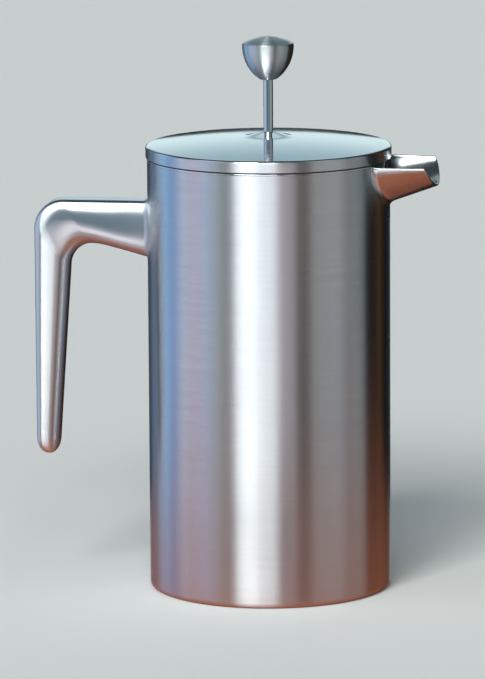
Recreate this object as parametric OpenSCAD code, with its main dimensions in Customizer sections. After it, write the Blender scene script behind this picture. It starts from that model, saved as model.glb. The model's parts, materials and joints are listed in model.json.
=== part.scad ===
// Double-walled steel french press, about one litre.
// Origin at the centre of the base, +Z up, spout towards +X, handle towards -X.
// It stands at rest with the lid on, the plunger pressed down and the strainer facing the spout.

/* [Vessel] */
// Outside diameter of the body
body_d = 100; // [98:0.5:103]
// Height of the rim above the table
rim_h = 179.2; // [175:0.1:190]
// Sheet thickness of both walls
wall_t = 0.8; // [0.6:0.05:0.9]
// Air gap between the two walls
wall_gap = 3.9; // [3.5:0.1:5]
// Radius of the rolled bottom edge
foot_r = 2.5; // [1.5:0.1:3.5]
// Height of the neck where the two walls lie together
neck_h = 22.6; // [22:0.1:26]

/* [Spout] */
// How far the keel of the spout reaches out from the body
spout_reach = 20.7; // [15:0.1:26]
// Depth of the trough where it meets the body
spout_depth = 17; // [14:0.1:17.5]
// Half width of the trough where it meets the body
spout_half_w = 20.2; // [18:0.1:22]
// Slope of the front lip, measured from vertical
lip_angle = 21.4; // [0:0.2:30]
// Sheet thickness of the spout
spout_t = 1.3; // [1:0.1:1.6]

/* [Handle] */
// Outer edge of the grip, measured from the body's axis
grip_x = 97.5; // [94:0.1:104]
// Top of the handle arm above the table
arm_top = 160.8; // [157:0.1:166]
// Width of the handle across its sides
handle_w = 16.4; // [13:0.2:18]
// Height of the grip's lower end above the table
grip_end = 53; // [45:0.5:70]

/* [Lid] */
// Outside diameter of the lid
lid_d = 101.2; // [100:0.1:104]
// Height of the lid's brushed band
band_h = 4.9; // [4.5:0.1:8]
// Rise of the domed top from its edge to its middle
dome_rise = 3.4; // [1:0.1:3.6]
// Depth of the strainer skirt below the lid
skirt_h = 20; // [18:0.1:20.5]
// Number of strainer slots on the spout side
slot_count = 13; // [5:2:15]

/* [Plunger] */
// Diameter of the plunger rod
rod_d = 4; // [3.5:0.1:4.5]
// Length of rod that shows between the guide bush and the knob
rod_show = 21.6; // [10:0.1:40]
// Widest diameter of the knob
knob_d = 21.2; // [18:0.1:26]

/* [Hidden] */
$fn = 96;

// Colours
steel_brushed = [0.70, 0.71, 0.73];
steel_bright = [0.82, 0.84, 0.87];
steel_inner = [0.62, 0.64, 0.66];
seal_grey = [0.10, 0.10, 0.11];
mesh_grey = [0.50, 0.51, 0.52];

// Small distance by which a cutter passes a face
over = 1;
// Radial play of a turning or sliding fit
fit = 0.06;
// Space left between curved faces of parts that move against each other
play = 0.3;
// Space left between fixed parts that sit inside each other
clear = 0.1;
// Depth of a weld seam that is left open between two fixed parts
weld_gap = 0.05;

// Vessel
body_r = body_d / 2;
shell_in_r = body_r - wall_t;
foot_w = 4;
plate_r = body_r - foot_w;
lip_t = 0.8;
lip_round = 0.6;
vessel_r = shell_in_r - wall_gap - wall_t;
neck_out_r = shell_in_r - clear;
neck_r = neck_out_r - wall_t;
neck_z = rim_h - neck_h;
flare_h = 5;
floor_z = 6.8;
floor_round = 5.5;

// Spout
spout_top = rim_h - 0.9;
spout_top_slope = 0.017;
half_w_slope = 0.058;
depth_slope = 0.38;
keel_power = 1.25;
lip_top_x = body_r + spout_reach - spout_depth_at(spout_reach) * tan(lip_angle);
spout_in_x = -10;
inside_lift = 0.3;
spout_out_x = spout_reach + 4;
notch_half = 8;
notch_raise = 6;

// Handle
handle_steps = 12;
tip_steps = 6;
corner_r = 2.2;
corner_lean = 22;
corner_steps = 3;
side_steps = 3;
inner_steps = 8;
widest_root = 0.6;
widest_tip = 0.26;
inner_power_root = 3;
inner_power_tip = 2.4;
arm_form_end = 0.3;
grip_form_start = 2;
arm_root_x = -body_r + 4;
arm_low_body = 137;
arm_slope = 0.27;
corner_out_r = 12.5;
corner_in_r = 9.7;
crown_ease = 4;
grip_root_t = 14.5;
grip_tip_t = 9.4;
tip_len = 7.3;
root_flare = 0.12;
root_flare_len = 0.25;
side_taper = 0.12;
crown_x = -grip_x + grip_root_t + corner_in_r;
crown_z = arm_low_body + arm_slope * (-body_r - crown_x - 0.9 * crown_ease);
grip_low = grip_end + tip_len;

// Lid
lid_r = lid_d / 2;
seal_t = 0.5;
lid_z = rim_h + seal_t;
lid_t = 1;
sheet_t = 0.8;
band_top = lid_z + band_h;
edge_round = 0.7;
edge_in_r = 0.2;
boss_r = 9.5;
boss_rise = 1.75;
collar_r = 2.85;
collar_bevel = 0.4;
hole_r = collar_r + 0.08;
seal_wall = 0.7;
seal_h = 6.3;
seal_out_r = neck_r - play;
seal_in_r = seal_out_r - seal_wall;
seal_low = lid_z - seal_h;
seal_flange_r = body_r - clear;
skirt_r = seal_in_r - play;
skirt_in_r = skirt_r - sheet_t;
skirt_low = lid_z - skirt_h;
skirt_flange = 3;
bead_h = 0.7;
bead_z = seal_low - 1.1;
slot_w = 1.6;
slot_h = 8;
slot_low = skirt_low + 2.6;
slot_cut = 6;
slot_pitch = 4;
bush_top = band_top + dome_rise + boss_rise + 0.1;
bush_low = lid_z - 1.1;
barrel_r = 5.5;
barrel_low = lid_z + sheet_t + clear;
barrel_top = band_top + dome_rise - lid_t - play;

// Plunger
rod_r = rod_d / 2;
bore_r = rod_r + fit;
nut_z = floor_z + 0.4;
nut_h = 3;
nut_flats = 7;
washer_r = 4.4;
washer_h = 0.8;
cross_z = nut_z + nut_h + washer_h;
plate_t = 0.8;
screen_z = cross_z + plate_t;
screen_t = 0.4;
spring_z = screen_z + screen_t;
hub_z = spring_z + plate_t;
hub_h = 6;
hub_r = 4.5;
hub_flange_r = 6.5;
hub_flange_h = 1.2;
hub_bevel = 0.6;
rod_low = nut_z + 0.2;
screen_r = vessel_r - 1.2;
cross_r = screen_r - 1.8;
fold_in_r = screen_r - 0.7;
fold_out_r = screen_r + 0.5;
fold_h = 0.5;
coil_r = 1.65;
coil_out_r = vessel_r - play;
coil_mid_r = coil_out_r - coil_r;
coil_z = spring_z + 3.2;
spring_rim_r = coil_mid_r - coil_r - clear;
spring_rim_h = 5;
spring_bend = 1;
knob_z = bush_top + rod_show;
knob_r = knob_d / 2;
knob_h = 14.8;
knob_rim_z = knob_z + knob_h;
knob_cap_h = 2.9;
knob_t = 0.8;
bowl_depth = 15.1;
bowl_power = 0.62;
bowl_straight = 0.9;
bowl_floor = 1;
spigot_wall = 0.7;
spigot_h = 1.5;
insert_r = 3.1;
rod_top = knob_z + 9.4;

// ---- outline helpers ----

// Points of an arc about [cx, cz], from angle a0 to a1
function arc(cx, cz, r, a0, a1, n = 8) =
    [for (i = [0 : n]) let (a = a0 + (a1 - a0) * i / n) [cx + r * cos(a), cz + r * sin(a)]];

// Height lost at radius r on a sphere cap that rises h over the radius edge_r
function cap_drop(r, edge_r, h) =
    let (big_r = (edge_r * edge_r + h * h) / (2 * h)) big_r - sqrt(big_r * big_r - r * r);

function reverse(list) = [for (i = [len(list) - 1 : -1 : 0]) list[i]];

// ---- vessel ----

// Half width and depth of the spout's outside at a distance from the body
function spout_half_at(x) = spout_half_w - half_w_slope * x;
function spout_depth_at(x) = spout_depth - depth_slope * x;

// Rounded V in Y and Z, closed by an edge raised above its top
module trough_section(half_w, depth, raise) {
    steps = 20;
    polygon(concat([for (i = [0 : steps]) let (a = 180 + 180 * i / steps)
                        [half_w * sign(cos(a)) * pow(abs(cos(a)), keel_power),
                         -depth * pow(-sin(a), keel_power)]],
                   [[half_w, raise], [-half_w, raise]]));
}

// Stands a Y-Z outline upright at a distance from the body, under the gently falling top edge
module place_section(x) {
    translate([body_r + x, 0, spout_top - spout_top_slope * x])
        rotate([90, 0, 90]) linear_extrude(0.01) children();
}

// Solid between the trough's section inside the wall and its section beyond the tip,
// with the curve starting higher than the top edge by the lift
module trough(thin, lift, x0, x1) {
    hull() {
        place_section(x0) translate([0, lift])
            trough_section(spout_half_at(x0) - thin, spout_depth_at(x0) - thin + lift, lift);
        place_section(x1) translate([0, lift])
            trough_section(spout_half_at(x1) - thin, spout_depth_at(x1) - thin + lift, lift);
    }
}

// Opening through both walls behind the spout, open at the rim
module pour_notch() {
    translate([body_r - notch_half, 0, spout_top]) rotate([90, 0, 90])
        linear_extrude(2 * notch_half)
            trough_section(spout_half_w - spout_t, spout_depth - spout_t, notch_raise);
}

// Outer wall with its rolled bottom edge
module outer_shell() {
    shell_top = rim_h - lip_t;
    color(steel_brushed) difference() {
        rotate_extrude() polygon(concat(
            [[plate_r + weld_gap, wall_t], [plate_r + weld_gap, 0]],
            arc(body_r - foot_r, foot_r, foot_r, -90, 0),
            [[body_r, shell_top], [shell_in_r, shell_top]],
            arc(body_r - foot_r, foot_r, foot_r - wall_t, 0, -90)));
        pour_notch();
    }
}

// Disc that closes the double wall from below
module base_plate() {
    color(steel_brushed) cylinder(r = plate_r, h = wall_t);
}

// Inner wall: floor, straight wall, flare, neck and the lip that turns over the outer wall
module inner_vessel() {
    out_r = vessel_r + wall_t;
    color(steel_inner) difference() {
        rotate_extrude() polygon(concat(
            [[0, floor_z], [0, floor_z - wall_t]],
            arc(vessel_r - floor_round, floor_z + floor_round, floor_round + wall_t, -90, 0),
            [[out_r, neck_z - flare_h], [neck_out_r, neck_z], [neck_out_r, rim_h - lip_t],
             [body_r, rim_h - lip_t]],
            arc(body_r - lip_round, rim_h - lip_round, lip_round, 0, 90, 4),
            [[neck_r, rim_h], [neck_r, neck_z], [vessel_r, neck_z - flare_h]],
            arc(vessel_r - floor_round, floor_z + floor_round, floor_round, 0, -90)));
        pour_notch();
    }
}

// Open trough, trimmed to the body and to its sloping front lip
module spout() {
    color(steel_bright) difference() {
        trough(0, 0, spout_in_x, spout_out_x);
        trough(spout_t, inside_lift, spout_in_x - over, spout_out_x + over);
        cylinder(r = body_r + weld_gap, h = rim_h + over);
        translate([lip_top_x, -body_r, spout_top]) rotate([0, -lip_angle, 0])
            translate([0, 0, -body_r]) cube([body_r, body_d, body_d]);
    }
}

// Outer edge of the handle: along the arm, round the corner and down the grip
function handle_out(s) =
    s < 1 ? [arm_root_x - s * (arm_root_x + grip_x - corner_out_r), arm_top]
    : s < 2 ? [-grip_x + corner_out_r - corner_out_r * sin(90 * (s - 1)),
               arm_top - corner_out_r + corner_out_r * cos(90 * (s - 1))]
    : [-grip_x, arm_top - corner_out_r - (s - 2) * (arm_top - corner_out_r - grip_end - tip_len)];

// Inner edge of the handle, where the fingers go
function handle_in(s) =
    s < 1 ? let (run = (1 - s) * (arm_root_x - crown_x),
                 ease = 0.9 * crown_ease * (1 - exp(-run / crown_ease)))
            [crown_x + run, crown_z - arm_slope * (run - ease)]
    : s < 2 ? [crown_x - corner_in_r * sin(90 * (s - 1)),
               crown_z - corner_in_r + corner_in_r * cos(90 * (s - 1))]
    : [-grip_x + grip_root_t - (s - 2) * (grip_root_t - grip_tip_t),
       crown_z - corner_in_r - (s - 2) * (crown_z - corner_in_r - grip_low)];

// Half width across the sides: wider at the weld, slimmer towards the tip
function handle_half(s) =
    handle_w / 2 * (1 + root_flare * exp(-pow(s / root_flare_len, 2)) - side_taper * max(0, s - 1));

function smooth_step(u) = let (v = min(1, max(0, u))) v * v * (3 - 2 * v);

// 1 along the arm, fading to 0 at the grip
function arm_share(s) = smooth_step((grip_form_start - s) / (grip_form_start - arm_form_end));

// One side of a section, from the flat outer face round to the inner edge:
// distance from the inner edge, then half width
function half_section(thick, half, corner, share) =
    let (fall = thick * (widest_tip + (widest_root - widest_tip) * share),
         power = inner_power_tip + (inner_power_root - inner_power_tip) * share,
         side_r = (fall - corner * (1 - sin(corner_lean))) / sin(corner_lean),
         flat = half - corner * cos(corner_lean) - side_r * (1 - cos(corner_lean)),
         deep = thick - fall)
    concat(
        [for (i = [0 : corner_steps]) let (a = 90 - (90 - corner_lean) * i / corner_steps)
            [thick - corner + corner * sin(a), flat + corner * cos(a)]],
        [for (i = [1 : side_steps]) let (a = corner_lean * (1 - i / side_steps))
            [deep + side_r * sin(a), half - side_r * (1 - cos(a))]],
        [for (i = [1 : inner_steps]) let (a = 90 * i / inner_steps)
            [deep * (1 - pow(sin(a), 2 / power)), half * pow(cos(a), 2 / power)]]);

// One ring between the inner and outer edge
function handle_ring(inner, outer, half, corner, share) =
    let (thick = norm(outer - inner), way = (outer - inner) / thick,
         side = half_section(thick, half, corner, share))
    [for (p = concat(side, [for (i = [len(side) - 2 : -1 : 0]) [side[i][0], -side[i][1]]]))
        let (q = inner + way * p[0]) [q[0], p[1], q[1]]];

// Rings along the arm, corner and grip, then the rounded end of the grip
function handle_rings() = concat(
    [for (i = [0 : 3 * handle_steps]) let (s = i / handle_steps)
        handle_ring(handle_in(s), handle_out(s), handle_half(s), corner_r, arm_share(s))],
    [for (i = [1 : tip_steps]) let (a = 88 * i / tip_steps,
                                    mid = (handle_in(3) + handle_out(3)) / 2,
                                    drop = [0, -tip_len * sin(a)])
        handle_ring(mid + (handle_in(3) - mid) * cos(a) + drop,
                    mid + (handle_out(3) - mid) * cos(a) + drop,
                    handle_half(3) * cos(a), corner_r * cos(a), 0)]);

// One cast piece, welded to the body by the end of its arm only
module handle() {
    rings = handle_rings();
    n = len(rings[0]);
    last = len(rings) - 1;
    points = [for (ring = rings) for (p = ring) p];
    sides = [for (j = [0 : last - 1]) for (k = [0 : n - 1]) let (k2 = (k + 1) % n)
                each [[j * n + k, (j + 1) * n + k, (j + 1) * n + k2],
                      [j * n + k, (j + 1) * n + k2, j * n + k2]]];
    color(steel_bright) difference() {
        polyhedron(points, concat(sides, [[for (k = [0 : n - 1]) k]],
                                  [reverse([for (k = [0 : n - 1]) last * n + k])]));
        cylinder(r = body_r + weld_gap, h = rim_h);
    }
}

// ---- lid ----

// Rubber ring between the neck and the skirt, with a flange that the lid rests on
module lid_seal() {
    color(seal_grey) rotate_extrude() polygon([
        [seal_in_r, seal_low], [seal_out_r, seal_low], [seal_out_r, rim_h],
        [seal_flange_r, rim_h], [seal_flange_r, lid_z], [seal_in_r, lid_z]]);
}

// Outline of the lid's outside, or of its inside when t is the sheet thickness
function lid_outline(t) = let (corner = max(edge_round - t, edge_in_r)) concat(
    [[lid_r - t, lid_z]],
    arc(lid_r - t - corner, band_top - t - corner, corner, 0, 90, 6),
    [for (i = [1 : 10]) let (r = lid_r - edge_round - i * (lid_r - edge_round - boss_r) / 10)
        [r, band_top - t + dome_rise - cap_drop(r, lid_r - edge_round, dome_rise)]],
    [for (i = [1 : 4]) let (u = i / 4, r = boss_r - u * (boss_r - hole_r))
        [r, band_top - t + dome_rise + boss_rise * u]]);

// Pressed cap: brushed band, shallow dome and the small boss round the rod
module lid_cap() {
    color(steel_bright) rotate_extrude()
        polygon(concat(lid_outline(0), reverse(lid_outline(lid_t))));
}

// Plate that closes the lid from below and holds the bush captive
module lid_liner() {
    color(steel_inner) translate([0, 0, lid_z]) difference() {
        cylinder(r = lid_r - lid_t - clear, h = sheet_t);
        translate([0, 0, -over]) cylinder(r = hole_r, h = sheet_t + 2 * over);
    }
}

// Skirt that centres the lid in the neck, with strainer slots facing the spout
module lid_skirt() {
    flange_r = skirt_in_r - skirt_flange;
    color(steel_inner) difference() {
        rotate_extrude() polygon([
            [skirt_in_r, skirt_low], [skirt_r, skirt_low], [skirt_r, bead_z - bead_h],
            [skirt_r + bead_h, bead_z], [skirt_r, bead_z + bead_h], [skirt_r, lid_z],
            [flange_r, lid_z], [flange_r, lid_z - sheet_t], [skirt_in_r, lid_z - sheet_t]]);
        for (i = [0 : slot_count - 1])
            rotate([0, 0, (i - (slot_count - 1) / 2) * slot_pitch])
                translate([skirt_r - slot_cut / 2, -slot_w / 2, slot_low])
                    cube([slot_cut, slot_w, slot_h]);
    }
}

// Guide bush: the small collar shows above the boss, the barrel is held inside the lid
module rod_bush() {
    color(steel_bright) rotate_extrude() polygon([
        [bore_r, bush_low], [collar_r, bush_low], [collar_r, barrel_low],
        [barrel_r, barrel_low], [barrel_r, barrel_top], [collar_r, barrel_top],
        [collar_r, bush_top - collar_bevel], [collar_r - collar_bevel, bush_top],
        [bore_r, bush_top]]);
}

// ---- plunger ----

// Rod from the bottom nut up into the knob
module plunger_rod() {
    color(steel_bright) translate([0, 0, rod_low]) cylinder(r = rod_r, h = rod_top - rod_low);
}

// Radius of the bowl at a depth below its straight rim
function bowl_radius(r, depth, full) = r * pow(1 - pow(depth / full, 2), bowl_power);

// One side of the bowl from its floor up to the rim
function bowl_side(t, low) =
    let (full = bowl_depth - t, start = knob_rim_z - bowl_straight - low)
    concat([for (i = [0 : 14]) let (depth = start * (1 - i / 14))
                [bowl_radius(knob_r - t, depth, full), knob_rim_z - bowl_straight - depth]],
           [[knob_r - t, knob_rim_z]]);

// Goblet-shaped shell under the knob's cap
module knob_bowl() {
    color(steel_brushed) rotate_extrude() polygon(concat(
        [[bore_r, knob_z]], bowl_side(0, knob_z),
        reverse(bowl_side(knob_t, knob_z + bowl_floor)), [[bore_r, knob_z + bowl_floor]]));
}

// Shallow domed cap with a spigot that locates it in the bowl
module knob_cap() {
    edge_r = knob_r - clear;
    spigot_r = knob_r - knob_t - clear;
    inner_r = spigot_r - spigot_wall;
    color(steel_brushed) rotate_extrude() polygon(concat(
        [for (i = [0 : 12]) let (r = edge_r * i / 12)
            [r, knob_rim_z + knob_cap_h - cap_drop(r, edge_r, knob_cap_h)]],
        [[spigot_r, knob_rim_z], [spigot_r, knob_rim_z - spigot_h],
         [inner_r, knob_rim_z - spigot_h], [inner_r, knob_rim_z]],
        [for (i = [8 : -1 : 0]) let (r = inner_r * i / 8)
            [r, knob_rim_z + knob_cap_h - knob_t - cap_drop(r, edge_r, knob_cap_h)]]));
}

// Threaded sleeve inside the knob that the rod screws into
module knob_insert() {
    low = knob_z + bowl_floor;
    color(steel_inner) translate([0, 0, low]) difference() {
        cylinder(r = insert_r, h = rod_top + 1 - low);
        translate([0, 0, -over]) cylinder(r = bore_r, h = rod_top + clear - low + over);
    }
}

// Boss above the filter stack
module upper_hub() {
    color(steel_bright) rotate_extrude() polygon([
        [bore_r, hub_z], [hub_flange_r, hub_z], [hub_flange_r, hub_z + hub_flange_h],
        [hub_r, hub_z + hub_flange_h], [hub_r, hub_z + hub_h - hub_bevel],
        [hub_r - hub_bevel, hub_z + hub_h], [bore_r, hub_z + hub_h]]);
}

// A ring of round holes through a plate
module hole_ring(count, ring_r, hole) {
    for (i = [0 : count - 1])
        rotate([0, 0, 360 * (i + 0.5) / count])
            translate([ring_r, 0, -over]) cylinder(d = hole, h = 2 * over + plate_t, $fn = 32);
}

// Perforated plate whose upturned rim carries the coil
module spring_plate() {
    color(steel_bright) difference() {
        translate([0, 0, spring_z]) rotate_extrude() polygon([
            [bore_r, 0], [spring_rim_r - spring_bend, 0], [spring_rim_r, spring_bend],
            [spring_rim_r, spring_rim_h], [spring_rim_r - plate_t, spring_rim_h],
            [spring_rim_r - plate_t, 1.4 * spring_bend],
            [spring_rim_r - 1.4 * spring_bend, plate_t], [bore_r, plate_t]]);
        translate([0, 0, spring_z]) {
            hole_ring(8, 13, 6);
            hole_ring(12, 22, 7);
            hole_ring(16, 32, 8);
        }
    }
}

// Outer shape of the coil spring that wipes the inner wall
module edge_coil() {
    color(steel_bright) translate([0, 0, coil_z]) rotate_extrude()
        translate([coil_mid_r, 0]) circle(r = coil_r, $fn = 32);
}

// Fine woven screen, as the thin disc that it fills
module mesh_screen() {
    color(mesh_grey) translate([0, 0, screen_z]) difference() {
        cylinder(r = screen_r, h = screen_t);
        translate([0, 0, -over]) cylinder(r = bore_r, h = screen_t + 2 * over);
    }
}

// Folded ring that binds the edge of the screen
module screen_rim() {
    screen_top = screen_z + screen_t;
    color(steel_bright) rotate_extrude() polygon([
        [fold_in_r, screen_z - fold_h], [fold_out_r, screen_z - fold_h],
        [fold_out_r, screen_top + fold_h], [fold_in_r, screen_top + fold_h],
        [fold_in_r, screen_top], [screen_r, screen_top], [screen_r, screen_z],
        [fold_in_r, screen_z]]);
}

// Perforated plate under the screen
module cross_plate() {
    color(steel_bright) translate([0, 0, cross_z]) difference() {
        cylinder(r = cross_r, h = plate_t);
        translate([0, 0, -over]) cylinder(r = bore_r, h = plate_t + 2 * over);
        hole_ring(6, 12, 7);
        hole_ring(12, 23, 8);
        hole_ring(18, 34, 8);
    }
}

// Washer between the cross plate and the nut
module lock_washer() {
    color(steel_inner) translate([0, 0, nut_z + nut_h]) difference() {
        cylinder(r = washer_r, h = washer_h);
        translate([0, 0, -over]) cylinder(r = bore_r, h = washer_h + 2 * over);
    }
}

// Hexagon nut, seven millimetres across its flats
module bottom_nut() {
    color(steel_inner) translate([0, 0, nut_z]) difference() {
        cylinder(d = nut_flats / cos(30), h = nut_h, $fn = 6);
        translate([0, 0, -over]) cylinder(r = bore_r, h = nut_h + 2 * over);
    }
}

outer_shell();
base_plate();
inner_vessel();
spout();
handle();
lid_seal();
lid_cap();
lid_liner();
lid_skirt();
rod_bush();
plunger_rod();
knob_bowl();
knob_cap();
knob_insert();
upper_hub();
spring_plate();
edge_coil();
mesh_screen();
screen_rim();
cross_plate();
lock_washer();
bottom_nut();
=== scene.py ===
import bpy
import json
import math
from mathutils import Matrix, Vector

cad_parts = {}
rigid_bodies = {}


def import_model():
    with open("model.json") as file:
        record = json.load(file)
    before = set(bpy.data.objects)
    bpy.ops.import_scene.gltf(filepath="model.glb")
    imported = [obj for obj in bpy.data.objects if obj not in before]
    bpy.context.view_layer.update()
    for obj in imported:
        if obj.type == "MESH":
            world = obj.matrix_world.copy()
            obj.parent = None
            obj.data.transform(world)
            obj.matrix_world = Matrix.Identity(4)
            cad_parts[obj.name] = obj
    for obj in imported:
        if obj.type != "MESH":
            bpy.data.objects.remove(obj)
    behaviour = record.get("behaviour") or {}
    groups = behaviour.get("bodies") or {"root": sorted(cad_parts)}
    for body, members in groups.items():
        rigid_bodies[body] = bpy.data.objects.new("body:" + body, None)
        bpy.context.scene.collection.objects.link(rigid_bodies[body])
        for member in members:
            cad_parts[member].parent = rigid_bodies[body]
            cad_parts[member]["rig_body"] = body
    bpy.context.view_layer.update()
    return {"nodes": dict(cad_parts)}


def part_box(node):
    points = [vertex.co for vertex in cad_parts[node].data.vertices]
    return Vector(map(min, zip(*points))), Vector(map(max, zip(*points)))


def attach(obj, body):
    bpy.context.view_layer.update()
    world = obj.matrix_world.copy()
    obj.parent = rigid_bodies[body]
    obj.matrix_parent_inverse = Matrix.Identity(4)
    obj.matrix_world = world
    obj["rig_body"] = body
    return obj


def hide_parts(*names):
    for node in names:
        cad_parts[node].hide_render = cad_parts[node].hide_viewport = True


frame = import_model()

MM = 0.001
PI = math.pi
scene = bpy.context.scene


# ------------------------------------------------------------ sizes, read from the CAD nodes, in mm
def box(node):
    lo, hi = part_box(node)
    return [c / MM for c in lo], [c / MM for c in hi]


BOX = {node: box(node) for node in frame["nodes"]}


def top(node):
    return BOX[node][1][2]


def low(node):
    return BOX[node][0][2]


def radius(node):
    return BOX[node][1][1]


# sizes that the boxes don't show, as in the CAD
SHEET = 0.8
FIT_GAP = 0.1
WALL_GAP = 3.9
NECK_H = 22.6
FLARE_H = 5
FOOT_R = 2.5
BOWL_R = 5.5
BORE = 2.06

BODY_R = radius("outer_shell")
PLATE_R = radius("base_plate")
SHELL_Z = top("outer_shell")
RIM_Z = top("inner_vessel")
FLOOR_Z = low("inner_vessel") + SHEET
LID_Z = top("lid_seal")
LID_R = radius("lid_cap")
NECK_OUT = BODY_R - SHEET - FIT_GAP
NECK_R = NECK_OUT - SHEET
NECK_Z = RIM_Z - NECK_H
VESSEL_R = BODY_R - 2 * SHEET - WALL_GAP


# ------------------------------------------------------------ mesh helpers
def unit(a, b):
    d = math.hypot(a, b) or 1e-9
    return a / d, b / d


def outline(points, closed=True, arc=5):
    """Corners (a, b, f): f > 0 rounds the corner, 0 leaves it sharp, -1 lies on a smooth curve.
    Gives (a, b, normal in, normal out), normals to the right of the way round."""
    made = []
    n = len(points)
    for i, (a, b, f) in enumerate(points):
        if not closed and i in (0, n - 1):
            p, q = (points[0], points[1]) if i == 0 else (points[-2], points[-1])
            d = unit(q[0] - p[0], q[1] - p[1])
            made.append((a, b, (d[1], -d[0]), (d[1], -d[0])))
            continue
        p, q = points[i - 1], points[(i + 1) % n]
        d0 = unit(a - p[0], b - p[1])
        d1 = unit(q[0] - a, q[1] - b)
        n0, n1 = (d0[1], -d0[0]), (d1[1], -d1[0])
        turn = math.atan2(d0[0] * d1[1] - d0[1] * d1[0], d0[0] * d1[0] + d0[1] * d1[1])
        if f < 0:
            m = unit(n0[0] + n1[0], n0[1] + n1[1])
            made.append((a, b, m, m))
        elif f == 0 or abs(turn) < 0.01:
            made.append((a, b, n0, n1))
        else:
            t = f * math.tan(abs(turn) / 2)
            limit = 0.49 * min(math.hypot(a - p[0], b - p[1]), math.hypot(q[0] - a, q[1] - b))
            if t > limit:
                f, t = f * limit / t, limit
            side = 1 if turn > 0 else -1
            ca, cb = a - d0[0] * t - side * n0[0] * f, b - d0[1] * t - side * n0[1] * f
            for k in range(arc + 1):
                g = turn * k / arc
                m = (n0[0] * math.cos(g) - n0[1] * math.sin(g),
                     n0[0] * math.sin(g) + n0[1] * math.cos(g))
                made.append((ca + side * m[0] * f, cb + side * m[1] * f, m, m))
    return made


def arc_points(r, z, rad, start, stop, steps):
    """Outline points on a smooth curve about (r, z), from angle start to angle stop."""
    return [(r + rad * math.cos(a), z + rad * math.sin(a), -1)
            for a in (start + (stop - start) * k / steps for k in range(steps + 1))]


def wall_points(r, z0, z1, steps):
    """Outline points along a straight wall, without its two ends."""
    return [(r, z0 + (z1 - z0) * k / steps, 0) for k in range(1, steps)]


def ring_faces(rings, count, closed=False, flip=False):
    """Quads between rings of count points each; closed joins the last ring to the first."""
    faces = []
    for i in range(rings if closed else rings - 1):
        i2 = (i + 1) % rings
        for k in range(count):
            k2 = (k + 1) % count
            face = [i * count + k, i * count + k2, i2 * count + k2, i2 * count + k]
            faces.append(face[:1] + face[:0:-1] if flip else face)
    return faces


def add_mesh(name, verts, faces, normals=None):
    mesh = bpy.data.meshes.new(name)
    mesh.from_pydata([(x * MM, y * MM, z * MM) for x, y, z in verts], [], faces)
    mesh.shade_smooth()
    if normals:
        mesh.normals_split_custom_set(normals)
    piece = bpy.data.objects.new(name, mesh)
    scene.collection.objects.link(piece)
    return piece


def place(piece, node, material):
    """The finished piece rides on the body of the node it stands for."""
    piece.data.materials.append(material)
    body = frame["nodes"][node]["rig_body"]
    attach(piece, body)
    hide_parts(node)
    return piece


def lathe(name, profile, turns=192, axis=False, angles=None, warp=None):
    """Turns a profile about Z. axis: the profile starts and ends on the axis."""
    angles = angles or [2 * PI * j / turns for j in range(turns)]
    n, m = len(profile), len(angles)
    poles = [axis and p[0] < 1e-6 for p in profile]
    verts, index = [], []
    for i, (r, z, _, _) in enumerate(profile):
        if poles[i]:
            index.append([len(verts)] * m)
            verts.append((0, 0, z))
            continue
        index.append(list(range(len(verts), len(verts) + m)))
        for g in angles:
            r2, z2 = warp(g, r, z) if warp else (r, z)
            verts.append((r2 * math.cos(g), r2 * math.sin(g), z2))
    faces, normals = [], []

    def normal(v, g):
        return Vector((v[0] * math.cos(g), v[0] * math.sin(g), v[1])).normalized()

    for i in range(n - 1 if axis else n):
        i2 = (i + 1) % n
        out, come = profile[i][3], profile[i2][2]
        for j in range(m):
            j2 = (j + 1) % m
            face = [index[i][j], index[i][j2], index[i2][j2], index[i2][j]]
            loop = [normal(out, angles[j]), normal(out, angles[j2]),
                    normal(come, angles[j2]), normal(come, angles[j])]
            if poles[i]:
                face, loop = face[1:], loop[1:]
            elif poles[i2]:
                face, loop = face[:3], loop[:3]
            faces.append(face)
            normals += loop
    return add_mesh(name, verts, faces, normals)


def tube_path(points, r, sides, closed=False):
    """Verts and faces of a round wire along points, turned as little as possible between them."""
    verts = []
    n = len(points)
    side = None
    for i, p in enumerate(points):
        a = points[(i - 1) % n] if closed or i else points[i]
        b = points[(i + 1) % n] if closed or i < n - 1 else points[i]
        t = (Vector(b) - Vector(a)).normalized()
        if side is None:
            side = t.orthogonal().normalized()
        side = (side - t * side.dot(t)).normalized()
        up = t.cross(side)
        for k in range(sides):
            g = 2 * PI * k / sides
            verts.append(Vector(p) + side * (r * math.cos(g)) + up * (r * math.sin(g)))
    faces = ring_faces(n, sides, closed)
    if not closed:
        faces.append([k for k in reversed(range(sides))])
        faces.append([(n - 1) * sides + k for k in range(sides)])
    return verts, faces


def weighted(piece):
    """Shades flat-sided round edges by the size of their faces."""
    piece.modifiers.new("even_normals", "WEIGHTED_NORMAL").weight = 80
    return piece


def second_material(piece, material, chosen):
    """Gives material to the faces for which chosen(distance from the axis, height) holds, in mm."""
    piece.data.materials.append(material)
    for poly in piece.data.polygons:
        x, y, z = poly.center / MM
        if chosen(math.hypot(x, y), z):
            poly.material_index = 1


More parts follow.
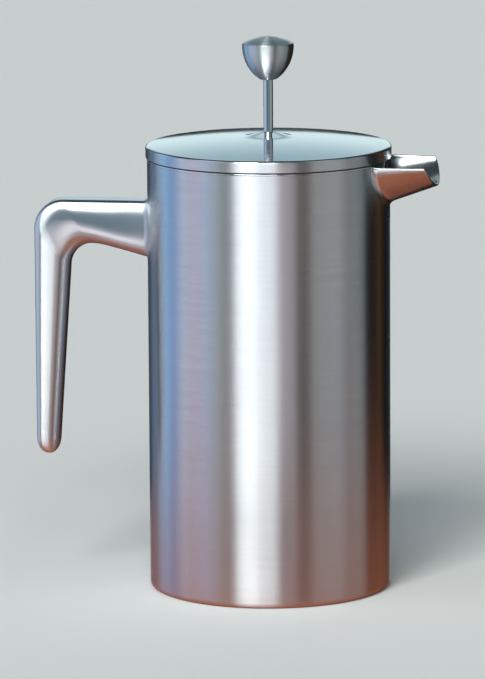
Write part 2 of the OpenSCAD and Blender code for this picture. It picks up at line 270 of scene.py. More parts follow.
# ------------------------------------------------------------ materials
class Nodes:
    """Short ways to add shader nodes to one material."""

    def __init__(self, name, kind="materials"):
        self.mat = getattr(bpy.data, kind).new(name)
        self.mat.use_nodes = True
        self.tree = self.mat.node_tree
        self.bsdf = self.tree.nodes.get("Principled BSDF")

    def new(self, kind, **props):
        node = self.tree.nodes.new(kind)
        for key, value in props.items():
            setattr(node, key, value)
        return node

    def link(self, a, b):
        self.tree.links.new(a, b)

    def math(self, operation, a, b=0.5, clamp=False):
        node = self.new("ShaderNodeMath", operation=operation, use_clamp=clamp)
        for socket, value in zip(node.inputs, (a, b)):
            if hasattr(value, "is_output"):
                self.link(value, socket)
            else:
                socket.default_value = value
        return node.outputs[0]

    def scaled(self, vector, scale):
        node = self.new("ShaderNodeVectorMath", operation="MULTIPLY")
        self.link(vector, node.inputs[0])
        node.inputs[1].default_value = scale
        return node.outputs[0]

    def noise(self, vector, scale, detail=2.0, rough=0.55, distortion=0.0):
        """Noise in lumps of about 1/scale metres along each axis."""
        node = self.new("ShaderNodeTexNoise")
        self.link(self.scaled(vector, scale), node.inputs["Vector"])
        node.inputs["Scale"].default_value = 1.0
        node.inputs["Detail"].default_value = detail
        node.inputs["Roughness"].default_value = rough
        node.inputs["Distortion"].default_value = distortion
        return node.outputs["Fac"]

    def ramp(self, value, low, high):
        """0 below low, 1 above high."""
        node = self.new("ShaderNodeMapRange", interpolation_type="SMOOTHSTEP")
        self.link(value, node.inputs["Value"])
        node.inputs["From Min"].default_value = low
        node.inputs["From Max"].default_value = high
        return node.outputs["Result"]

    def blend(self, share, a, b):
        node = self.new("ShaderNodeMix", data_type="RGBA")
        self.link(share, node.inputs["Factor"])
        node.inputs["A"].default_value = (*a, 1)
        node.inputs["B"].default_value = (*b, 1)
        return node.outputs["Result"]

    def total(self, start, *parts):
        """start plus each (socket, amount), the sockets running about 0.5."""
        value = start
        for socket, amount in parts:
            part = self.math("MULTIPLY", self.math("SUBTRACT", socket, 0.5), amount)
            value = self.math("ADD", part, value)
        return value

    def bump(self, height, strength, distance):
        node = self.new("ShaderNodeBump")
        node.inputs["Strength"].default_value = strength
        node.inputs["Distance"].default_value = distance
        self.link(height, node.inputs["Height"])
        self.link(node.outputs[0], self.bsdf.inputs["Normal"])

    def worn_and_highlit_edges(self, low, high):
        """1 on sharp edges, from the mesh's pointiness."""
        return self.ramp(self.new("ShaderNodeNewGeometry").outputs["Pointiness"], low, high)


def off_axis(n, vector):
    """A point's distance from the Z axis, as a socket."""
    flat = n.scaled(vector, (1, 1, 0))
    node = n.new("ShaderNodeVectorMath", operation="LENGTH")
    n.link(flat, node.inputs[0])
    return node.outputs["Value"]


def ringed(n, vector, per_metre, along):
    """Coordinates whose noise makes circles about the Z axis."""
    node = n.new("ShaderNodeCombineXYZ")
    n.link(n.math("MULTIPLY", off_axis(n, vector), per_metre), node.inputs["X"])
    wander = n.new("ShaderNodeVectorMath", operation="MULTIPLY_ADD")
    n.link(vector, wander.inputs[0])
    wander.inputs[1].default_value = (along, along, along)
    n.link(node.outputs[0], wander.inputs[2])
    return wander.outputs[0]


# lumps of noise per metre along X, Y and Z
CLOUD, PRINTS, SCRATCH = (38, 38, 24), (160, 160, 110), (3200, 3200, 90)
SCRATCH_SLANTS = ((0.5, 0.9, 0.2), (1.2, -0.5, 0.7))
ONE = (1, 1, 1)
SMOOTHEST = 0.03
BUMP, BUMP_DEPTH = 0.35, 0.00004


def steel(name, tint, rough, brush=None, rings=0.0, depth=1.0, aniso=0.0, turn=0.0,
          smudge=0.06, streak=0.08, scratch=0.35, dark=0.82, use_uv=False):
    """Stainless steel. brush: lumps per metre along X, Y, Z of the brushing; rings: circles per
    metre about the Z axis instead."""
    n = Nodes(name)
    where = n.new("ShaderNodeUVMap", uv_map="along").outputs[0] if use_uv else (
        n.new("ShaderNodeTexCoord").outputs["Object"])
    solid = n.new("ShaderNodeTexCoord").outputs["Object"]
    if rings:
        fine = n.noise(ringed(n, where, rings, 14), ONE, 2, 0.6)
        wide = n.noise(ringed(n, where, rings * 0.23, 9), ONE, 2, 0.5)
    else:
        fine = n.noise(where, brush, 2, 0.6)
        wide = n.noise(where, [b * 0.27 for b in brush], 3, 0.6)
    cloud = n.noise(solid, CLOUD, 3, 0.5, 0.4)
    prints = n.noise(solid, PRINTS, 2, 0.6, 0.8)
    # sparse fine scratches: long thin lumps of noise, each set at its own slant
    marks = None
    for slant in SCRATCH_SLANTS:
        tilt = n.new("ShaderNodeVectorRotate", rotation_type="EULER_XYZ")
        n.link(solid, tilt.inputs["Vector"])
        tilt.inputs["Rotation"].default_value = slant
        line = n.ramp(n.noise(tilt.outputs[0], SCRATCH, 0), 0.76, 0.80)
        marks = line if marks is None else n.math("MAXIMUM", marks, line)
    # edges are rubbed smoother, and their colour is lightened as a painted highlight
    edge = n.worn_and_highlit_edges(0.53, 0.62)
    level = n.total(rough, (fine, streak), (wide, streak * 0.8), (cloud, smudge),
                    (prints, smudge * 0.6))
    level = n.math("ADD", level, n.math("MULTIPLY", marks, scratch * 0.25))
    level = n.math("SUBTRACT", level, n.math("MULTIPLY", edge, rough * 0.3), clamp=True)
    n.link(n.math("MAXIMUM", level, SMOOTHEST), n.bsdf.inputs["Roughness"])
    shade = n.total(0.5, (wide, 0.5), (fine, 0.45), (cloud, 0.45))
    # painted highlight: the colour is lightened on sharp edges
    shade = n.math("ADD", shade, n.math("MULTIPLY", edge, 0.4), clamp=True)
    n.link(n.blend(shade, [c * dark for c in tint], tint), n.bsdf.inputs["Base Color"])
    n.bsdf.inputs["Metallic"].default_value = 1.0
    n.bsdf.inputs["Anisotropic"].default_value = aniso
    n.bsdf.inputs["Anisotropic Rotation"].default_value = turn
    if aniso:
        tangent = n.new("ShaderNodeTangent", direction_type="UV_MAP", uv_map="along") if use_uv else (
            n.new("ShaderNodeTangent", direction_type="RADIAL", axis="Z"))
        n.link(tangent.outputs[0], n.bsdf.inputs["Tangent"])
    height = n.total(0.0, (fine, 0.7), (wide, 0.5), (prints, 0.06))
    height = n.math("SUBTRACT", height, n.math("MULTIPLY", marks, 0.5 * scratch))
    n.bump(height, BUMP, BUMP_DEPTH * depth)
    return n.mat


def rubber(name, tint, rough):
    n = Nodes(name)
    solid = n.new("ShaderNodeTexCoord").outputs["Object"]
    grain = n.noise(solid, (2600, 2600, 2600), 2, 0.6)
    cloud = n.noise(solid, (60, 60, 90), 3, 0.5)
    edge = n.worn_and_highlit_edges(0.52, 0.60)
    n.link(n.total(rough, (grain, 0.18), (cloud, 0.15)), n.bsdf.inputs["Roughness"])
    shade = n.total(0.4, (cloud, 0.8), (grain, 0.3))
    # painted highlight: the colour is lightened on sharp edges
    shade = n.math("ADD", shade, n.math("MULTIPLY", edge, 0.3), clamp=True)
    n.link(n.blend(shade, tint, [c * 2.2 for c in tint]), n.bsdf.inputs["Base Color"])
    n.bump(grain, 0.3, 0.00006)
    return n.mat


# turn of the stretched highlight on steel brushed round its axis, as a share of a whole turn
AROUND = 0.25
body_mat = steel("brushed_body", (0.68, 0.685, 0.70), 0.33, brush=(80, 80, 2400), depth=1.1,
                 aniso=1.0, turn=AROUND, streak=0.17, smudge=0.03, dark=0.84)
lid_mat = steel("polished_lid", (0.70, 0.72, 0.73), 0.10, rings=2600, depth=0.25, streak=0.03,
                smudge=0.03, scratch=0.25, dark=0.92, aniso=0.6, turn=AROUND)
band_mat = steel("brushed_band", (0.69, 0.695, 0.71), 0.31, brush=(80, 80, 2400), depth=1.1,
                 aniso=1.0, turn=AROUND, streak=0.17, smudge=0.03, dark=0.84)
handle_mat = steel("satin_handle", (0.71, 0.72, 0.73), 0.33, brush=(2600, 110, 110), depth=0.6,
                   aniso=0.97, streak=0.10, smudge=0.06, dark=0.84, use_uv=True)
spout_mat = steel("polished_spout", (0.66, 0.665, 0.67), 0.24, brush=(110, 1500, 1500), depth=0.7,
                  streak=0.12, smudge=0.10, dark=0.74)
knob_mat = steel("spun_knob", (0.66, 0.68, 0.68), 0.36, brush=(140, 140, 2600), depth=0.9,
                 aniso=0.90, turn=AROUND, streak=0.16, dark=0.72)
rod_mat = steel("bright_rod", (0.69, 0.70, 0.715), 0.09, brush=(1400, 1400, 160), depth=0.4,
                streak=0.05, smudge=0.05)
inner_mat = steel("satin_inside", (0.60, 0.61, 0.62), 0.36, brush=(50, 50, 5000), depth=0.7,
                  aniso=0.9, turn=AROUND, streak=0.08)
plate_mat = steel("pressed_plate", (0.62, 0.63, 0.64), 0.30, rings=2400, depth=0.7, streak=0.09)
wire_mat = steel("woven_wire", (0.52, 0.53, 0.54), 0.36, brush=(1200, 1200, 1200), depth=0.3,
                 streak=0.10)
nut_mat = steel("turned_nut", (0.55, 0.555, 0.56), 0.30, rings=5200, depth=0.8, streak=0.10)
seal_mat = rubber("seal_rubber", (0.018, 0.018, 0.02), 0.55)


# ------------------------------------------------------------ the spout's section, as in the CAD
HALF_W, HALF_SLOPE = 20.2, 0.058
DEPTH_0, DEPTH_SLOPE = 17.0, 0.38
TOP_SLOPE = 0.017
KEEL = 1.25
LIP = math.radians(21.4)
SPOUT_T = 1.3
REACH = 20.7
SPOUT_RIM = RIM_Z - 0.9
LIP_TOP = REACH - (DEPTH_0 - DEPTH_SLOPE * REACH) * math.tan(LIP)


def power(c, p):
    return math.copysign(abs(c) ** p, c)


# g is an angle about the Z axis
def notch_top(g):
    """Height at which the pouring notch cuts the walls at an angle about Z, or None beside it."""
    half, depth = HALF_W - SPOUT_T, DEPTH_0 - SPOUT_T
    y = BODY_R * math.sin(g)
    if math.cos(g) < 0 or abs(y) >= half:
        return None
    c = (abs(y) / half) ** (1 / KEEL)
    return SPOUT_RIM - depth * max(0.0, 1 - c * c) ** (KEEL / 2)


NOTCH_G = math.asin((HALF_W - SPOUT_T) / BODY_R)
BESIDE_NOTCH = 0.0008
# close together across the notch, even round the rest
rim_angles = sorted(
    [NOTCH_G * math.sin(PI / 2 * k / 40) for k in range(-40, 41)]
    + [NOTCH_G + BESIDE_NOTCH, 2 * PI - NOTCH_G - BESIDE_NOTCH]
    + [NOTCH_G + (2 * PI - 2 * NOTCH_G) * k / 160 for k in range(1, 160)])


def cut_at_notch(walls):
    def warp(g, r, z):
        cut = notch_top(g)
        if cut is None or z <= cut:
            return r, z
        return min(max(r, walls[0]), walls[1]), cut
    return warp


# ------------------------------------------------------------ vessel
foot_at = BODY_R - FOOT_R, FOOT_R
shell = lathe("outer_shell_fine", outline(
    [(PLATE_R + 0.05, SHEET, 0.15), (PLATE_R + 0.05, 0, 0.25)]
    + arc_points(*foot_at, FOOT_R, -PI / 2, 0, 8)
    + wall_points(BODY_R, FOOT_R, SHELL_Z, 24)
    + [(BODY_R, SHELL_Z, 0.06), (BODY_R - SHEET, SHELL_Z, 0.06)]
    + wall_points(BODY_R - SHEET, SHELL_Z, FOOT_R, 24)
    + arc_points(*foot_at, FOOT_R - SHEET, 0, -PI / 2, 8)),
    angles=rim_angles, warp=cut_at_notch((BODY_R - SHEET, BODY_R)))
place(shell, "outer_shell", body_mat)

bowl_at = VESSEL_R - BOWL_R, FLOOR_Z + BOWL_R
LIP_ROUND, MOUTH_ROUND, FLARE_ROUND = 0.55, 0.4, 3
vessel = lathe("inner_vessel_fine", outline(
    [(0, FLOOR_Z - SHEET, 0)] + arc_points(*bowl_at, BOWL_R + SHEET, -PI / 2, 0, 8)
    + [(VESSEL_R + SHEET, NECK_Z - FLARE_H, FLARE_ROUND), (NECK_OUT, NECK_Z, FLARE_ROUND)]
    + wall_points(NECK_OUT, NECK_Z, RIM_Z - SHEET, 8)
    + [(NECK_OUT, RIM_Z - SHEET, 0.05), (BODY_R, RIM_Z - SHEET, 0.12),
       (BODY_R, RIM_Z, LIP_ROUND), (NECK_R, RIM_Z, MOUTH_ROUND)]
    + wall_points(NECK_R, RIM_Z - 0.5, NECK_Z, 8)
    + [(NECK_R, NECK_Z, FLARE_ROUND), (VESSEL_R, NECK_Z - FLARE_H, FLARE_ROUND)]
    + arc_points(*bowl_at, BOWL_R, 0, -PI / 2, 8) + [(0, FLOOR_Z, 0)], closed=False),
    axis=True, angles=rim_angles, warp=cut_at_notch((NECK_R, NECK_OUT)))
place(vessel, "inner_vessel", inner_mat)
# the rolled lip is polished
second_material(vessel, rod_mat, lambda r, z: r > BODY_R - 1 and z > RIM_Z - SHEET)

# ------------------------------------------------------------ spout
SPOUT_WELD = 2.4
# the first ring lies this deep in the wall
SINK = 0.12
# the trough's top edges rise a little where they meet the wall
RISE, RISE_H, RISE_REACH = 0.75, 1.6, 3.6
LIP_EASE = 0.12


def fillet(weld, away):
    """How far a weld fillet stands out from a piece, at a distance away from the wall."""
    return weld - math.sqrt(max(0.0, weld ** 2 - (weld - max(away, 0)) ** 2))


def spout_piece():
    """The trough: closed rings from inside the wall to the sloping lip, with round edges and a
    weld fillet."""
    cols, over, weld = 72, 8, SPOUT_WELD
    lip_tan = math.tan(LIP)

    def wall_x(y, r):
        return math.sqrt(r * r - min(abs(y), 40) ** 2) - BODY_R

    def point(x, g, thin, rise, grow):
        half = HALF_W - HALF_SLOPE * x - thin
        deep = DEPTH_0 - DEPTH_SLOPE * x - thin
        y, z = -half * power(math.cos(g), KEEL), -deep * math.sin(g) ** KEEL
        ny, nz = unit(-math.cos(g) / half, -math.sin(g) / deep)
        grow *= min(1, 2.5 * math.sin(g))
        lift = rise * math.exp(-(z / RISE_H) ** 2)
        return y + ny * grow, SPOUT_RIM - TOP_SLOPE * x + z + nz * grow + lift

    def end_x(g, thin):
        """Where a line along the trough meets the lip's plane."""
        s = math.sin(g) ** KEEL
        deep = DEPTH_0 - thin
        return (LIP_TOP + deep * s * lip_tan) / (1 + (DEPTH_SLOPE * s + TOP_SLOPE) * lip_tan)

    def edge(p, q, high):
        """Half-round edge over the sheet from p to q."""
        bow = []
        for k in range(1, over):
            a = PI * k / over
            x, y, z = (c + (d - c) * (1 - math.cos(a)) / 2 for c, d in zip(p, q))
            bow.append((x, y, z + high * math.sin(a)))
        return bow

    # (distance along the weld, share of the way from there to the lip, angle round the lip's edge)
    rows = [(-SINK, 0.0, 0.0)] + [(weld * (1 - math.cos(PI / 2 * k / 9)), 0.0, 0.0)
                                  for k in range(1, 10)]
    rows += [(weld, share, 0.0) for share in (0.06, 0.14, 0.24, 0.36, 0.5, 0.64, 0.78, 0.9, 0.97)]
    rows += [(weld, 1.0, PI / 2 * k / 6) for k in range(7)]
    half_t = SPOUT_T / 2 - LIP_EASE
    span = LIP_TOP + weld
    verts = []
    for step, share, bend in rows:
        inset, back = half_t * (1 - math.cos(bend)), half_t * (1 - math.sin(bend))
        rest = max(0.05, SPOUT_T / 2 - inset)
        sides = []
        for inner in (False, True):
            thin = SPOUT_T - inset if inner else inset
            g0 = math.asin((rest / (DEPTH_0 - thin)) ** (1 / KEEL))
            side = []
            for k in range(cols + 1):
                g = g0 + (PI - 2 * g0) * k / cols
                stop = end_x(g, thin) - back
                y = -(HALF_W - thin) * power(math.cos(g), KEEL)
                # x depends on the wall at y, and y on x
                for _ in range(5):
                    if inner:
                        start = wall_x(y, NECK_R + 0.02)
                        part = (step + SINK + share * (span - weld)) / (span + SINK)
                        x = start + part * (stop - start)
                        grow = 0.0
                    else:
                        start = wall_x(y, BODY_R)
                        x = start + step + share * (stop - start - weld)
                        grow = fillet(weld, step)
                    away = max(0.0, x - wall_x(y, BODY_R))
                    y, z = point(x, g, thin, RISE * max(0.0, 1 - away / RISE_REACH) ** 2, grow)
                side.append((BODY_R + x, y, z))
            sides.append(side[::-1] if inner else side)
        outer, inner = sides
        verts += outer + edge(outer[-1], inner[0], rest) + inner + edge(inner[-1], outer[0], rest)
    count = 2 * (cols + 1) + 2 * (over - 1)
    faces = ring_faces(len(rows), count, flip=True)
    # each end is closed by strips from the outer side to the inner one
    across = [2 * cols + over - k for k in range(cols + 1)]
    strips = [[k, k + 1, across[k + 1], across[k]] for k in range(cols)]
    strips.append([cols + k for k in range(over + 1)])
    strips.append([(count - over + k) % count for k in range(over + 1)])
    last = (len(rows) - 1) * count
    faces += [f[::-1] for f in strips] + [[last + v for v in f] for f in strips]
    return weighted(add_mesh("spout_fine", verts, faces))


place(spout_piece(), "spout", spout_mat)


# ------------------------------------------------------------ handle
GRIP_X = -BOX["handle"][0][0]
ARM_TOP = top("handle")
HANDLE_W, WIDEN, WIDEN_END = 16.4, 0.12, 0.25
OUT_R, IN_R = 12.5, 9.7
ROOT_T, TIP_T, TIP_LEN = 14.5, 9.4, 7.3
GRIP_LOW = low("handle") + TIP_LEN
# the arm starts this far inside the wall
ARM_IN = 4
ARM_ROOT = -BODY_R + ARM_IN
ARM_LOW, ARM_SLOPE = 137, 0.27
EASE, EASE_SHARE = 4.0, 0.9
CROWN_X = -GRIP_X + ROOT_T + IN_R
CROWN_Z = ARM_LOW + ARM_SLOPE * (-BODY_R - CROWN_X - EASE_SHARE * EASE)
CORNER_R, CORNER_LEAN = 2.2, math.radians(22)
# how far the widest line lies below the outer face, and how square the inner side is
WIDEST_TIP, WIDEST_ROOT = 0.26, 0.60
POWER_TIP, POWER_ROOT = 2.4, 3.0
# where along the handle the section stops being the arm's, and has become the grip's
ARM_FORM, GRIP_FORM = 0.3, 2
HANDLE_WELD, HANDLE_SINK = 1.8, 0.15


# s runs along the handle: 0 to 1 is the arm, 1 to 2 the corner, 2 to 3 the grip
def handle_out(s):
    if s < 1:
        return ARM_ROOT - s * (ARM_ROOT + GRIP_X - OUT_R), ARM_TOP
    if s < 2:
        a = PI / 2 * (s - 1)
        return -GRIP_X + OUT_R - OUT_R * math.sin(a), ARM_TOP - OUT_R + OUT_R * math.cos(a)
    return -GRIP_X, ARM_TOP - OUT_R - (s - 2) * (ARM_TOP - OUT_R - GRIP_LOW)


def handle_in(s):
    if s < 1:
        run = (1 - s) * (ARM_ROOT - CROWN_X)
        ease = EASE_SHARE * EASE * (1 - math.exp(-run / EASE))
        return CROWN_X + run, CROWN_Z - ARM_SLOPE * (run - ease)
    if s < 2:
        a = PI / 2 * (s - 1)
        return CROWN_X - IN_R * math.sin(a), CROWN_Z - IN_R + IN_R * math.cos(a)
    return (-GRIP_X + ROOT_T - (s - 2) * (ROOT_T - TIP_T),
            CROWN_Z - IN_R - (s - 2) * (CROWN_Z - IN_R - GRIP_LOW))


def handle_half(s):
    return HANDLE_W / 2 * (1 + WIDEN * math.exp(-(s / WIDEN_END) ** 2) - WIDEN * max(0, s - 1))


def arm_share(s):
    """1 where the section is the arm's, 0 where it is the grip's."""
    u = min(1.0, max(0.0, (GRIP_FORM - s) / (GRIP_FORM - ARM_FORM)))
    return u * u * (3 - 2 * u)


def half_section(thick, half, corner, share):
    """One side of the handle's section, from the flat outer face round to the inner edge:
    (distance from the inner edge, half width)."""
    fall = thick * (WIDEST_TIP + (WIDEST_ROOT - WIDEST_TIP) * share)
    exponent = POWER_TIP + (POWER_ROOT - POWER_TIP) * share
    lean = math.sin(CORNER_LEAN)
    side_r = (fall - corner * (1 - lean)) / lean
    flat = half - corner * math.cos(CORNER_LEAN) - side_r * (1 - math.cos(CORNER_LEAN))
    deep = thick - fall
    pts = [(thick, flat * k / 4) for k in range(4)]
    for k in range(11):
        a = PI / 2 - (PI / 2 - CORNER_LEAN) * k / 10
        pts.append((thick - corner + corner * math.sin(a), flat + corner * math.cos(a)))
    for k in range(1, 7):
        a = CORNER_LEAN * (1 - k / 6)
        pts.append((deep + side_r * math.sin(a), half - side_r * (1 - math.cos(a))))
    for k in range(1, 23):
        a = PI / 2 * k / 22
        pts.append((deep * (1 - math.sin(a) ** (2 / exponent)),
                    half * abs(math.cos(a)) ** (2 / exponent)))
    return pts


def handle_ring(inner, outer, half, share, corner=CORNER_R, grow=0.0):
    dx, dz = outer[0] - inner[0], outer[1] - inner[1]
    thick = math.hypot(dx, dz)
    ux, uz = dx / thick, dz / thick
    side = half_section(thick + 2 * grow, half + grow, corner + grow, share)
    loop = side + [(u, -w) for u, w in side[-2:0:-1]]
    return [(inner[0] + ux * (u - grow), w, inner[1] + uz * (u - grow)) for u, w in loop]


def handle_piece():
    """Closed rings along the casting, from its weld fillet on the body to the rounded tip."""
    def ring_at(s, grow=0.0):
        return handle_ring(handle_in(s), handle_out(s), handle_half(s), arm_share(s), grow=grow)

    weld = HANDLE_WELD
    length = ARM_ROOT + GRIP_X - OUT_R
    rings = []
    for d in [-HANDLE_SINK] + [weld * (1 - math.cos(PI / 2 * k / 8)) for k in range(9)]:
        # rings near the wall follow its curve
        hug = 1 - max(d, 0) / weld
        rings.append([((-math.sqrt(BODY_R ** 2 - y * y) - d) * hug + x * (1 - hug), y, z)
                      for x, y, z in ring_at((ARM_IN + d) / length, fillet(weld, d))])
    past_weld = 0.8
    s0 = (ARM_IN + weld + past_weld) / length
    rings += [ring_at(s0 + (1 - s0) * k / 18) for k in range(18)]
    rings += [ring_at(1 + k / 24) for k in range(24)]
    rings += [ring_at(2 + k / 30) for k in range(31)]
    end_in, end_out = handle_in(3), handle_out(3)
    mid = [(a + b) / 2 for a, b in zip(end_in, end_out)]
    for k in range(1, 14):
        a = PI / 2 * k / 14
        shrink, drop = math.cos(a), TIP_LEN * math.sin(a)
        inner, outer = ([mid[0] + (p[0] - mid[0]) * shrink, mid[1] + (p[1] - mid[1]) * shrink - drop]
                        for p in (end_in, end_out))
        rings.append(handle_ring(inner, outer, handle_half(3) * shrink, 0, CORNER_R * shrink))
    count = len(rings[0])
    verts = [p for r in rings for p in r] + [(mid[0], 0, GRIP_LOW - TIP_LEN)]
    last = (len(rings) - 1) * count
    faces = [list(range(count))] + ring_faces(len(rings), count, flip=True)
    faces += [[last + k, len(verts) - 1, last + (k + 1) % count] for k in range(count)]
    piece = add_mesh("handle_fine", verts, faces)
    # a map that follows the casting: U along it, V round it, both in metres
    tip_reach, half_girth = 0.0005, 0.04
    along = [0.0]
    for a, b in zip(rings, rings[1:]):
        along.append(along[-1] + math.dist(a[0], b[0]) * MM)
    along.append(along[-1] + tip_reach)
    layer = piece.data.uv_layers.new(name="along")
    for loop in piece.data.loops:
        j, k = divmod(loop.vertex_index, count)
        layer.data[loop.index].uv = (along[j], abs(k / count * 2 - 1) * half_girth)
    return weighted(piece)


place(handle_piece(), "handle", handle_mat)

# ------------------------------------------------------------ lid
BAND_H, DOME = 4.9, 3.4
BOSS_R, BOSS, BOSS_EASE = 9.5, 1.75, 1.2
COLLAR_R = 2.85
HOLE_R = COLLAR_R + 0.08
LID_T = 1.0
EDGE = 1.2
BAND_Z = LID_Z + BAND_H
DOME_TOP = BAND_Z + DOME
BOSS_TOP = DOME_TOP + BOSS
DOME_R = LID_R - EDGE
# the brushed band ends part of the way round the edge
BRUSHED_END = BAND_Z - 0.75


def dome_z(r):
    ball = (DOME_R ** 2 + DOME ** 2) / (2 * DOME)
    return DOME_TOP - (ball - math.sqrt(ball * ball - r * r))


def boss_z(r):
    """The dome, and inside BOSS_R the straight rise to the hole, eased into each other."""
    ease = 0.12 * math.exp(-((r - BOSS_R) / 0.7) ** 2)
    if r >= BOSS_R:
        return dome_z(r) + ease
    share = (BOSS_R - r) / (BOSS_R - HOLE_R)
    return dome_z(BOSS_R) * (1 - share) + BOSS_TOP * share + ease


def spread(start, stop, steps):
    return [start + (stop - start) * k / steps for k in range(steps + 1)]


lid_cap = lathe("lid_cap_fine", outline(
    [(LID_R - LID_T, LID_Z, 0.1), (LID_R, LID_Z, 0.18), (LID_R, LID_Z + 1.0, 0),
     (LID_R, LID_Z + 2.6, 0)]
    + arc_points(DOME_R, BAND_Z - EDGE, EDGE, 0, PI / 2, 8)[:-1]
    + [(r, dome_z(r), -1) for r in spread(DOME_R, BOSS_R + BOSS_EASE, 40)]
    + [(r, boss_z(r), -1) for r in spread(BOSS_R + BOSS_EASE, HOLE_R + 0.3, 14)[1:]]
    + [(HOLE_R, BOSS_TOP, 0.22), (HOLE_R, BOSS_TOP - LID_T, 0.1),
       (BOSS_R, dome_z(BOSS_R) - LID_T, 1.0)]
    + [(r, dome_z(r) - LID_T, -1) for r in spread(BOSS_R + 3, DOME_R - 2, 16)]
    + [(LID_R - LID_T, BAND_Z - LID_T, 0.3)]), turns=256)
place(lid_cap, "lid_cap", lid_mat)
second_material(lid_cap, band_mat, lambda r, z: r > LID_R - 0.12 and z < BRUSHED_END)

# the seal: a flange under the lid's band, and a sleeve with three ribs against the neck
SEAL_R, SEAL_WALL, GROOVE = NECK_R - 0.3, 0.7, 0.25
RIBS, RIB_PITCH, RIB_HALF = 3, 1.5, 0.45
seal_low, flange_r = low("lid_seal"), radius("lid_seal")
groove_r = SEAL_R - GROOVE
seal_pts = [(SEAL_R - SEAL_WALL, seal_low, 0.1), (groove_r, seal_low, 0.15)]
for k in range(RIBS):
    z = seal_low + 1.0 + RIB_PITCH * k
    seal_pts += [(groove_r, z - RIB_HALF, 0.15), (SEAL_R, z, 0.15), (groove_r, z + RIB_HALF, 0.15)]
seal_pts += [(groove_r, RIM_Z - 1.2, 0.2), (SEAL_R, RIM_Z - 0.4, 0), (SEAL_R, RIM_Z, 0.1),
             (flange_r, RIM_Z, 0.18), (flange_r, LID_Z, 0.18), (SEAL_R - SEAL_WALL, LID_Z, 0.1)]
place(lathe("lid_seal_fine", outline(seal_pts, arc=3)), "lid_seal", seal_mat)

BARREL_R = 5.5
bush_low, bush_top = low("rod_bush"), top("rod_bush")
barrel_low, barrel_top = LID_Z + 0.9, DOME_TOP - 1.3
place(lathe("rod_bush_fine", outline([
    (BORE, bush_low, 0.15), (COLLAR_R, bush_low, 0.3), (COLLAR_R, barrel_low, 0.1),
    (BARREL_R, barrel_low, 0.3), (BARREL_R, barrel_top, 0.3), (COLLAR_R, barrel_top, 0.1),
    (COLLAR_R, bush_top, 0.42), (BORE, bush_top, 0.15)]), turns=96),
    "rod_bush", rod_mat)

# ------------------------------------------------------------ plunger
rod_r, rod_low, rod_top = radius("plunger_rod"), low("plunger_rod"), top("plunger_rod")
rod_edge = 0.35
# rings in between keep the rod's faces from being too long
place(lathe("plunger_rod_fine", outline(
    [(0, rod_low, 0), (rod_r, rod_low, rod_edge)]
    + [(rod_r, z, 0) for z in (rod_low + 12, 90, 170)]
    + [(rod_r, rod_top, rod_edge), (0, rod_top, 0)], closed=False), turns=64, axis=True),
    "plunger_rod", rod_mat)

KNOB_Z, KNOB_RIM, KNOB_R = low("knob_bowl"), top("knob_bowl"), radius("knob_bowl")
BOWL_D, BOWL_POWER, STRAIGHT = 15.1, 0.62, 0.9
BOWL_T, BOWL_FLOOR = 0.8, 1.0


def bowl(t, start):
    """Half outline of the knob's bowl from height start up, t inside its outer face."""
    full, deep = BOWL_D - t, KNOB_RIM - STRAIGHT - start
    depths = [deep * math.cos(PI / 2 * k / 28) for k in range(28)] + [0.0]
    return [((KNOB_R - t) * (1 - (d / full) ** 2) ** BOWL_POWER, KNOB_RIM - STRAIGHT - d, -1)
            for d in depths]


bowl_pts = bowl(0, KNOB_Z)
place(lathe("knob_bowl_fine", outline(
    [(BORE, KNOB_Z, 0.12), (bowl_pts[0][0] - 0.15, KNOB_Z, 0.5)] + bowl_pts[2:]
    + [(KNOB_R, KNOB_RIM, 0.22), (KNOB_R - BOWL_T, KNOB_RIM, 0.08)]
    + bowl(BOWL_T, KNOB_Z + BOWL_FLOOR)[::-1]
    + [(BORE, KNOB_Z + BOWL_FLOOR, 0.1)]), turns=160), "knob_bowl", knob_mat)

CAP_R, CAP_H = radius("knob_cap"), top("knob_cap") - KNOB_RIM
SPIGOT, SPIGOT_T, SPIGOT_LOW = KNOB_R - 0.9, 0.7, KNOB_RIM - 1.5
SEAM, CAP_SIDE = 0.02, 0.28


def cap_z(r, below=0.0):
    ball = (CAP_R ** 2 + CAP_H ** 2) / (2 * CAP_H)
    return KNOB_RIM + CAP_H - below - (ball - math.sqrt(ball * ball - r * r))


# from the inside of the cap on the axis, round its spigot and edge, to the top on the axis
cap_profile = outline(
    [(r, cap_z(r, BOWL_T), -1) for r in spread(0, SPIGOT - 0.75, 14)]
    + [(SPIGOT - SPIGOT_T, SPIGOT_LOW, 0.15), (SPIGOT, SPIGOT_LOW, 0.15),
       (SPIGOT, KNOB_RIM + SEAM, 0), (CAP_R - 0.05, KNOB_RIM + SEAM, 0.06),
       (CAP_R, KNOB_RIM + CAP_SIDE, 0.14)]
    + [(r, cap_z(r), -1) for r in spread(CAP_R - 0.55, 0, 26)], closed=False)
for end, facing in ((0, -1.0), (-1, 1.0)):
    cap_profile[end] = (*cap_profile[end][:2], (0.0, facing), (0.0, facing))
place(lathe("knob_cap_fine", cap_profile, turns=160, axis=True), "knob_cap", knob_mat)

HUB_R, HUB_FLANGE_H, HUB_GROOVE = 4.5, 1.2, 4.2
hub_low, hub_top, hub_flange_r = low("upper_hub"), top("upper_hub"), radius("upper_hub")
groove = [hub_low + h for h in (2.6, 2.9, 3.5, 3.8)]
place(lathe("upper_hub_fine", outline([
    (BORE, hub_low, 0.1), (hub_flange_r, hub_low, 0.2), (hub_flange_r, hub_low + HUB_FLANGE_H, 0.3),
    (HUB_R, hub_low + HUB_FLANGE_H, 0.5), (HUB_R, groove[0], 0.1), (HUB_GROOVE, groove[1], 0.1),
    (HUB_GROOVE, groove[2], 0.1), (HUB_R, groove[3], 0.1), (HUB_R, hub_top, 0.6),
    (BORE, hub_top, 0.2)]), turns=96), "upper_hub", rod_mat)


